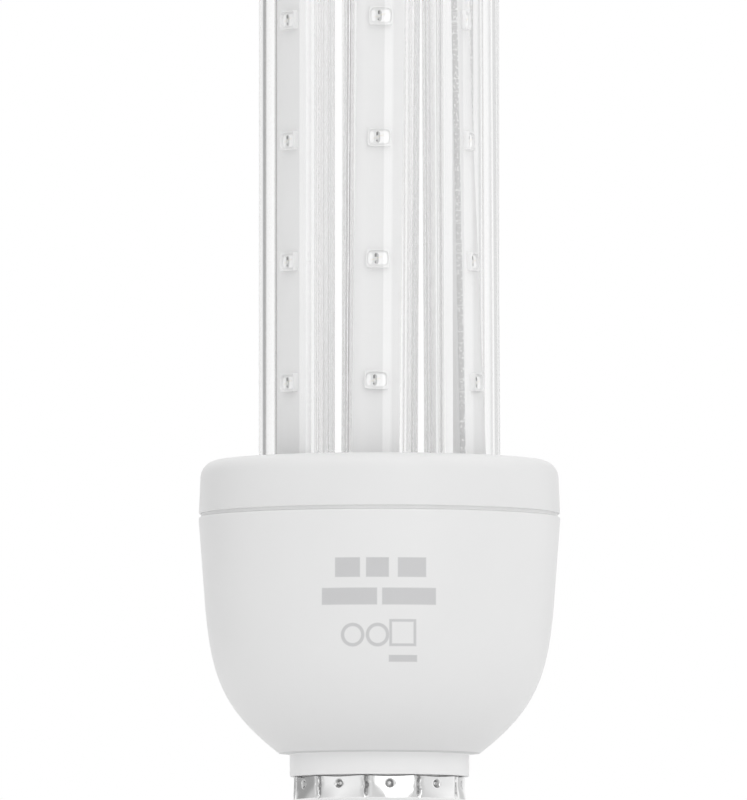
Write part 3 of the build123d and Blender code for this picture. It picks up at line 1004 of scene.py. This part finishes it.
def strip_surface(sizes):
    """The section at each step up the strip, its sides bitten by the saw.

    The bites are a sine wave along the strip without its sign, times a random depth, plus a
    small random part. They move only the points that lie close to the two long edges.
    """
    width, length, thickness = sizes
    section = strip_section(width, thickness)
    up = np.linspace(-length / 2, length / 2, strip_rows)
    edge = (np.abs(section[:, 0]) > width / 2 - saw_depth) * np.sign(section[:, 0])
    wave = np.abs(np.sin(np.pi * up[:, None] / saw_pitch + saw_shifts))
    wave = wave * scatter.uniform(0.4, 1.0, (strip_rows, 2))
    wave = wave + 0.5 * scatter.normal(0, 0.25, (strip_rows, 2))
    wave = np.where(edge > 0, wave[:, :1], wave[:, 1:])
    across = section[None, :, 0] - np.clip(wave * saw_bite, 0, saw_bite) * edge
    out = np.broadcast_to(section[None, :, 1], across.shape)
    ups = np.broadcast_to(up[:, None], across.shape)
    body = np.stack([across, ups, out], axis=-1)
    ends = [np.repeat(body[end].mean(axis=0)[None, None], len(section), axis=1) for end in (0, -1)]
    return np.concatenate([ends[0], body, ends[1]])


def placed(points, ends, length):
    """Points given along a strip's own directions, moved to where the strip stands.

    A point is at the share of its height between its place at the foot and that at the top.
    """
    at_foot, at_top = (
        middle + points[:, :1] * across + points[:, 2:] * out for middle, across, out in ends
    )
    return at_foot + (points[:, 1:2] / length + 0.5) * (at_top - at_foot)


# %% [markdown]
# A strip has three looks: lacquer on its face, rolled metal on its back, and sawn metal with
# small burrs on its long edges. The strips lean, so no direction in the lamp tells them apart.
# Each point of a strip's mesh therefore carries its own coordinates across, up and out of the
# strip, and the finish reads those.

# %% Strip finish
lacquer_foot = (-0.09 * mm, -0.05 * mm)
rail_middle = 1.9 * mm
rail_edge = (1.25 * mm, 1.4 * mm)
cut_start = (3.5 * mm, 3.54 * mm)


def strip_finish(name, edge_low, edge_metal):
    """White lacquer where the strip's own third coordinate is at its face, aluminium elsewhere.

    Two copper rails under the lacquer lift it a little: a rail lies where the distance across
    the strip, less the rail's own, is small. edge_low is the darkest tone of the sawn edges,
    and edge_metal is how much more metal than the sheet they show.
    """
    material, place = finish(name)
    own = place.node("ShaderNodeAttribute", {"attribute_name": "place"}, output="Vector")
    across, _, out = own.axes()
    lacquer = out.ramp(*lacquer_foot)
    cloud = place.noise(160, 3)
    scratches = own.stretched(2, 0.004, 1).noise(2200, 3)
    rails = abs(abs(across) - rail_middle).ramp(*rail_edge, 1.0, 0.0)
    cut = abs(across).ramp(*cut_start) * (1 - lacquer)
    burrs = own.stretched(1, 0.7, 1).noise(3600, 2).ramp(0.57, 0.63)
    white = cloud.blend(grey(0.765), grey(0.795))
    rolled = scratches.blend(grey(0.94), grey(0.98))
    sawn = burrs.blend(grey(edge_low), grey(0.95))
    metal = cut.blend(rolled, sawn)
    height = (rails * 0.6 + cloud * 0.1) * lacquer + scratches * (1 - lacquer) * 0.5
    coated(
        place,
        Base_Color=lacquer.blend(metal, white),
        Metallic=(1 - lacquer) * (cut * edge_metal + 0.1),
        Roughness=lacquer * -0.05 + 0.4,
        Normal=height.bump(0.3, 0.03 * mm),
    )
    return material


sawn_bare = strip_finish("lacquered_aluminium_strip", 0.68, 0.5)
# Painted light: the last strip's sawn edges are painted pale where they catch the light.
sawn_painted_light = strip_finish("strip_with_painted_light_edges", 0.88, -0.1)
painted_light_strip = 6
strips = []
for number in range(1, leg_count + 1):
    board = f"led_board_{number}"
    ends, sizes = strip_ends(board)
    length = sizes[1]
    vertices, faces = skin(strip_surface(sizes), along=False)
    strips.append((ends, length))
    strip_skin = (placed(vertices, ends, length), faces)
    sawn = sawn_painted_light if number == painted_light_strip else sawn_bare
    piece(f"light_strip_{number}", [strip_skin], [sawn], [board], places=vertices)

# %% [markdown]
# A light package is a white resin frame round a clear pocket. In the pocket lie two silvered
# plates with a white rib between them, the light chip, a small dark protection chip, and two
# hair-thin gold wires. One rounded-rectangle formula draws every ring of it: the frame, the
# pocket's sloping walls, the plates and the chips are rings of that kind, stacked.

# %% Light package shapes
package_size = np.array([3.5, 2.8, 0.8]) * mm
package_count = 5
package_columns = 40
pocket_floor = 0.34 * mm
pad_level = pocket_floor - 0.02 * mm


def ring(half_across, half_up, power, out, shift=(0.0, 0.0), columns=package_columns):
    """A closed ring |x/a|^p + |y/b|^p = 1 at a height: the radius at each angle solves it."""
    turn = np.linspace(0, 2 * np.pi, columns, endpoint=False) + np.pi / columns
    cos, sin = np.cos(turn), np.sin(turn)
    reach = (np.abs(cos / half_across) ** power + np.abs(sin / half_up) ** power) ** (-1 / power)
    return np.stack([reach * cos + shift[0], reach * sin + shift[1], np.full(columns, out)], axis=-1)


def stacked(rings):
    """A grid of rings whose two ends close in a point each."""
    ends = [np.broadcast_to(one.mean(axis=0), one.shape) for one in (rings[0], rings[-1])]
    return skin(np.stack([ends[0], *rings, ends[1]]), along=False)


def block(size, place, bottom, power, columns=20):
    """A small slab: width, length and height, its middle, and the level of its underside."""
    half_across, half_up, height = size[0] / 2, size[1] / 2, size[2]
    bevel = min(0.04 * mm, height / 3)
    levels = ((0, 0), (0, height - bevel), (bevel, height))
    return stacked([
        ring(half_across - cut, half_up - cut, power, bottom + level, place, columns)
        for cut, level in levels
    ])


def package_frame():
    """The resin frame: up its sides, over the rim, down the pocket's slope and over its floor."""
    across, up, height = package_size[0] / 2, package_size[1] / 2, package_size[2]
    return stacked([
        ring(across, up, 14, 0),
        ring(across, up, 14, height - 0.08 * mm),
        ring(across - 0.04 * mm, up - 0.04 * mm, 12, height),
        ring(across - 0.14 * mm, up - 0.16 * mm, 4, height),
        ring(across - 0.17 * mm, up - 0.19 * mm, 4, height - 0.04 * mm),
        ring(across - 0.25 * mm, up - 0.25 * mm, 4, pocket_floor),
    ])


def bond_wire(start, end, top, radius=0.018 * mm, steps=10, sides=6):
    """A thin round wire that rises from one pad and falls to another along half a sine wave."""
    share = np.linspace(0, 1, steps)
    line = start + share[:, None] * (end - start)
    line[:, 2] += top * np.sin(np.pi * share)
    run = np.gradient(line, axis=0)
    side = np.cross(run, [0, 0, 1.0])
    side /= np.linalg.norm(side, axis=1)[:, None]
    rise_side = np.cross(side, run)
    rise_side /= np.linalg.norm(rise_side, axis=1)[:, None]
    turn = np.linspace(0, 2 * np.pi, sides, endpoint=False)
    cos, sin = np.cos(turn)[None, :, None], np.sin(turn)[None, :, None]
    body = line[:, None] + radius * (cos * side[:, None] + sin * rise_side[:, None])
    ends = [np.broadcast_to(line[end], (1, sides, 3)) for end in (0, -1)]
    return skin(np.concatenate([ends[0], body, ends[1]]), along=False)


print("shapes for", package_count, "packages on each strip")

# %% [markdown]
# The frame is matt white resin with a fine grain. The parts in the pocket are smaller than
# any pattern that the eye could follow, so clouds of a few tenths of a millimetre are enough
# for them. The plates look white, not like a mirror, because clear resin covers them.

# %% Light package finishes
gold = (0.9, 0.8, 0.58, 1)
silver = grey(0.99)
metal_clouds = (3000, 3)
chip_clouds = (4000, 2)
chip_gloss = (0.15, 0.3)
resin_tones = (grey(0.76), grey(0.81))
package_resin = clouded("package_resin", (1500, 2), resin_tones, (0.35, 0.5), (0.1, 0.01 * mm))
silver_tones = (silver, darker(silver, 0.94))
pad_silver = clouded("pad_silver", metal_clouds, silver_tones, (0.25, 0.4), metallic=0.05)
gold_tones = (gold, darker(gold, 0.94))
wire_gold = clouded("wire_gold", metal_clouds, gold_tones, (0.2, 0.35), metallic=1.0)
light_chip = clouded("light_chip", chip_clouds, (grey(0.7), grey(0.8)), chip_gloss)
guard_chip = clouded("guard_chip", chip_clouds, (grey(0.17), grey(0.25)), chip_gloss)
# Painted shade: a grey slab under the chips stands for the shade round the light chip.
painted_shade_slab = clouded("painted_shade_slab", chip_clouds, (grey(0.5), grey(0.64)), chip_gloss)
print("package finishes:", package_resin.name, pad_silver.name, light_chip.name)

# %% [markdown]
# A package is laid out as its drawing would be, in millimetres: each slab's width, length and
# height, then its middle, and each wire's two feet and its rise. The five packages of a strip
# lie at equal steps, and the first and the last stand at the ends of the CAD node's box.

# %% Light packages on their strips
round_power = 5
square_power = 12
shade_slab_level = pad_level + 0.045 * mm
slabs = (
    ((0.62, 1.7, 0.05), (-1.1, 0.0), pad_level, round_power, pad_silver),
    ((1.98, 1.8, 0.05), (0.41, 0.0), pad_level, round_power, pad_silver),
    ((0.13, 2.0, 0.1), (-0.68, 0.0), pad_level, square_power, package_resin),
    # painted shade: the grey slab under the chips
    ((0.62, 1.7, 0.03), (-0.2, 0.0), shade_slab_level, round_power, painted_shade_slab),
    ((0.46, 0.46, 0.16), (-0.3, -0.05), pocket_floor, square_power, light_chip),
    ((0.26, 0.5, 0.14), (-0.32, 0.5), pocket_floor, square_power, guard_chip),
    ((0.2, 0.2, 0.1), (-0.36, -0.56), pocket_floor, square_power, guard_chip),
)
wires = (
    ((-1.0, -0.25, 0.36), (-0.36, -0.1, 0.5), 0.2),
    ((-0.22, 0.05, 0.5), (0.7, 0.3, 0.36), 0.25),
)
package_parts = [(package_frame(), package_resin)]
for size, place, level, power, material in slabs:
    package_parts.append((block(np.array(size) * mm, np.array(place) * mm, level, power), material))
for start, end, top in wires:
    package_parts.append((bond_wire(np.array(start) * mm, np.array(end) * mm, top * mm), wire_gold))
for number, (ends, length) in enumerate(strips, start=1):
    low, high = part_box(f"led_row_{number}")
    foot_height, top_height = ends[0][0][2], ends[1][0][2]
    slope = (top_height - foot_height) / length
    middle = ((low.z + high.z) - (foot_height + top_height)) / 2 / slope
    reach = (high.z - low.z) / slope - package_size[1]
    along = middle + np.linspace(-0.5, 0.5, package_count) * reach
    skins = [
        (placed(vertices + [0, height, 0], ends, length), faces)
        for height in along
        for (vertices, faces), _ in package_parts
    ]
    finishes = [material for _, material in package_parts] * package_count
    piece(f"light_row_{number}", skins, finishes, [f"led_row_{number}"], sharp=40)

# %% [markdown]
# The driver sits inside the closed housing, where its CAD nodes already have their true shapes.
# They keep those shapes and get finishes only. Masks on the object's own coordinates say which
# part of a node is body, lead or winding.

# %% Finishes of the driver's parts
stripe_edge = (3.0 * mm, 3.2 * mm)
opening_edge = (3.9 * mm, 4.1 * mm)
opening_height = (38.2 * mm, 38.4 * mm)
waist_foot = (46.55 * mm, 46.65 * mm)
waist_top = (54.35 * mm, 54.45 * mm)
resistor_middle = 4.5 * mm
resistor_end = (3.95 * mm, 4.05 * mm)
band_pitch = 1.5 * mm


def dress(node, material):
    """Gives a CAD node its finish."""
    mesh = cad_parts[node].data
    mesh.materials.clear()
    mesh.materials.append(material)
    print("dressed", node, "in", material.name)


def laminate():
    """Tan paper laminate: fine fibres, a weave of faint lines, and a green-tinted underside."""
    material, place = finish("driver_laminate_finish")
    across, depth, up = place.axes()
    fibres = place.stretched(1, 6, 1).noise(900, 3)
    weave = (across * 7000).math("SINE") * (depth * 7000).math("SINE")
    under = up.ramp(ledge_height, ledge_height + 0.05 * mm, 1.0, 0.0)
    tan = fibres.blend((0.62, 0.47, 0.26, 1), (0.72, 0.57, 0.34, 1))
    colour = under.blend(tan, (0.16, 0.38, 0.2, 1))
    dull = fibres.spread(0.45, 0.6)
    coated(place, Base_Color=colour, Roughness=dull, Normal=weave.bump(0.15, 0.02 * mm))
    return material


def moulded_black(name):
    """Black epoxy with a fine matt grain."""
    tones = ((0.02, 0.02, 0.022, 1), (0.045, 0.045, 0.05, 1))
    return clouded(name, (4000, 3), tones, (0.45, 0.65), (0.3, 0.02 * mm))


def sleeve():
    """Shrunk sleeve in dark blue with one pale stripe, open at the foot over bare aluminium."""
    material, place = finish("capacitor_sleeve_finish")
    across, depth, up = place.axes()
    stripe = across.ramp(*stripe_edge) * 0.9
    opening = (across * across + depth * depth).root().ramp(*opening_edge, 1.0, 0.0)
    bare = opening * up.ramp(*opening_height, 1.0, 0.0)
    cloud = place.noise(300, 2)
    blue = cloud.blend((0.015, 0.02, 0.09, 1), (0.02, 0.03, 0.12, 1))
    film = stripe.blend(blue, (0.7, 0.72, 0.75, 1))
    coated(
        place,
        Base_Color=bare.blend(film, (0.8, 0.8, 0.81, 1)),
        Metallic=bare,
        Roughness=cloud.spread(0.25, 0.35),
        Normal=cloud.bump(0.1, 0.05 * mm),
    )
    return material


def wound_core():
    """Grey ferrite flanges, and enamelled copper turns in the waist between them."""
    material, place = finish("inductor_core_and_winding")
    up = place.axes()[2]
    waist = up.ramp(*waist_foot) * up.ramp(*waist_top, 1.0, 0.0)
    turns = (up * 14000).math("SINE") * 0.5 + 0.5
    grain = place.noise(2500, 3)
    ferrite = grain.blend((0.045, 0.045, 0.05, 1), (0.09, 0.09, 0.095, 1))
    copper = turns.blend((0.28, 0.09, 0.03, 1), (0.75, 0.34, 0.16, 1))
    coated(
        place,
        Base_Color=waist.blend(ferrite, copper),
        Metallic=waist * 0.8,
        Roughness=waist * -0.3 + 0.65,
        Normal=(turns * waist + grain * (1 - waist)).bump(0.4, 0.05 * mm),
    )
    return material


def dipped(name, colour, other):
    """A dipped or shrunk coat in one colour with slow clouds and a soft gloss."""
    return clouded(name, (500, 3), (colour, other), (0.3, 0.42), (0.2, 0.04 * mm))


def banded():
    """A grey-green resistor with four bands, and tinned leads beyond its two ends."""
    material, place = finish("fuse_resistor_coat")
    across = place.axes()[0]
    cloud = place.noise(900, 3)
    body = abs(across - resistor_middle).ramp(*resistor_end, 1.0, 0.0)
    bands = abs(((across - resistor_middle) / band_pitch).math("FRACT") - 0.5)
    band = bands.ramp(0.16, 0.2, 1.0, 0.0)
    coat = cloud.blend((0.2, 0.3, 0.26, 1), (0.26, 0.36, 0.31, 1))
    banded_coat = band.blend(coat, (0.35, 0.12, 0.05, 1))
    colour = body.blend(cloud.blend(grey(0.7), grey(0.8)), banded_coat)
    coated(place, Base_Color=colour, Metallic=1 - body, Roughness=cloud.spread(0.3, 0.45))
    return material


dress("driver_board", laminate())
dress("driver_chip", moulded_black("chip_epoxy"))
dress("bridge_rectifier", moulded_black("rectifier_epoxy"))
dress("smoothing_capacitor", sleeve())
dress("driver_inductor", wound_core())
dress("film_capacitor", dipped("film_capacitor_epoxy", (0.35, 0.05, 0.03, 1), (0.45, 0.08, 0.05, 1)))
dress("fuse_resistor", banded())
dress("live_wire", dipped("red_wire_sleeve", (0.45, 0.02, 0.02, 1), (0.55, 0.04, 0.03, 1)))
dress("neutral_wire", dipped("black_wire_sleeve", (0.012, 0.012, 0.013, 1), (0.03, 0.03, 0.032, 1)))
dress("board_leads", plated("tinned_leads", (grey(0.8), grey(0.736)), (0.25, 0.4)))

# %% [markdown]
# A product like this is photographed in a tent of white cloth, and clear glass shows only what
# surrounds it. A plain white sky would make the tubes vanish. So the sky here is a tent whose
# brightness changes by direction: white behind, calmer in front where the camera stands, a
# tall bright soft box a little to its right, and gaps behind the lamp to its left and right,
# where a photographer leaves the cloth open. Their reflections draw the tubes' edges, their
# bright streak and the cap's facets. The camera itself sees plain white.

# %% Tent of light
tent_strength = 1.25
tent_top = 1.15
horizon_levels = (
    (0.0, 0.8),
    (0.08, 0.8),
    (0.108, 0.3),
    (0.158, 0.3),
    (0.195, 0.5),
    (0.29, 0.6),
    (0.335, 0.82),
    (0.42, 0.66),
    (0.5, 0.56),
    (0.6, 0.52),
    (0.7, 0.62),
    (0.8, 0.86),
    (0.86, 0.84),
    (0.888, 0.54),
    (0.935, 0.54),
    (0.955, 0.8),
    (1.0, 0.8),
)
box_direction = 0.564
box_half = 0.039
box_blur = 0.003
box_middle = 0.12
box_height = (0.72, 0.78)
box_extra = 1.15
cloth_rise = (0.35, 0.8)


def tent():
    """Brightness by direction: a ramp round the horizon, blended into an even top and floor.

    The direction round the lamp is a share of a whole turn: 0.5 is the front and 0.75 the right.
    """
    world = bpy.data.worlds.new("white_tent")
    bpy.context.scene.world = world
    world.use_nodes = True
    world.node_tree.nodes.clear()
    direction = Wire(world.node_tree).node("ShaderNodeTexCoord", output="Generated")
    across, depth, up = direction.axes()
    turn = across.math("ARCTAN2", 0 - depth) / (2 * np.pi) + 0.5
    horizon = turn.node("ShaderNodeValToRGB", {"stops": horizon_levels}, {0: turn})
    cloth = abs(up).ramp(*cloth_rise).blend(horizon, grey(tent_top / tent_strength))
    off_box = abs(turn - box_direction)
    beside = off_box.ramp(box_half - box_blur, box_half + box_blur, 1.0, 0.0)
    tall = abs(up - box_middle).ramp(*box_height, 1.0, 0.0)
    level = cloth * tent_strength + beside * tall * box_extra
    lit = level.node("ShaderNodeBackground", {}, {"Color": level, "Strength": 1.0})
    seen = level.node("ShaderNodeBackground", {}, {"Color": grey(1.0), "Strength": 1.0})
    camera_ray = level.node("ShaderNodeLightPath", output="Is Camera Ray")
    both = level.node("ShaderNodeMixShader", {}, {0: camera_ray, 1: lit, 2: seen})
    level.node("ShaderNodeOutputWorld", {}, {"Surface": both})


tent()
print("tent with a soft box at", box_direction, "of a turn")

# %% [markdown]
# The lamp stands on a plain pale table. The photograph looks a little up at the lamp from low
# down, so its view passes under the table's near edge, and the table stays small enough for
# that. A round table is a turned outline like the rest.

# %% Table
table_radius = 0.62
table_bottom = -6 * mm
table_edge = 2 * mm
table_corners = [
    (0, 0, 0),
    (table_radius, 0, table_edge),
    (table_radius, table_bottom, table_edge),
    (0, table_bottom, 0),
]


def table():
    """The round table top, its upper face at the foot of the lamp."""
    vertices, faces = skin(turned(rounded(table_corners), 128), along=False)
    mesh = bpy.data.meshes.new("table")
    mesh.from_pydata(vertices, [], faces.tolist())
    mesh.materials.append(clouded("pale_table", (6, 3), (grey(0.9), grey(0.93)), (0.6, 0.7)))
    weld(mesh)
    made = bpy.data.objects.new("table", mesh)
    bpy.context.scene.collection.objects.link(made)


table()
print(f"table {2 * table_radius:.2f} m across")

# %% [markdown]
# The photograph was taken from about two metres with a long lens, and it shows 120 mm of the
# lamp from top to bottom. Its bottom edge cuts the screw cap and its top edge the tubes. The
# lens follows from those three: sensor height times distance over the height that is seen.

# %% Camera
seen_height = 120.5 * mm
sensor_height = 24.0
eye = (-0.9 * mm, -2.0, -34.6 * mm)
aim = (-0.9 * mm, 0.0, 82.9 * mm)
camera_data = bpy.data.cameras.new("camera")
camera = bpy.data.objects.new("camera", camera_data)
bpy.context.scene.collection.objects.link(camera)
bpy.context.scene.camera = camera
camera.location = eye
sight = cad_low.copy()
sight[:] = [to - at for to, at in zip(aim, eye)]
camera.rotation_euler = sight.to_track_quat("-Z", "Y").to_euler()
camera_data.sensor_width = sensor_height
camera_data.lens = sensor_height * sight.length / seen_height
camera_data.clip_end = 20
print(f"lens {camera_data.lens:.0f} mm at {sight.length:.3f} m")

# %% [markdown]
# White has to stay white, so the plain Standard view is used and not one that holds highlights
# back. Light bounces many times inside three rows of glass, and a path that is cut short
# leaves black specks, so the number of bounces is raised.

# %% View and bounces
scene = bpy.context.scene
scene.view_settings.view_transform = "Standard"
bounces = 24
scene.cycles.max_bounces = bounces
scene.cycles.transmission_bounces = bounces
scene.cycles.caustics_refractive = False
scene.cycles.caustics_reflective = False
print("view:", scene.view_settings.view_transform)
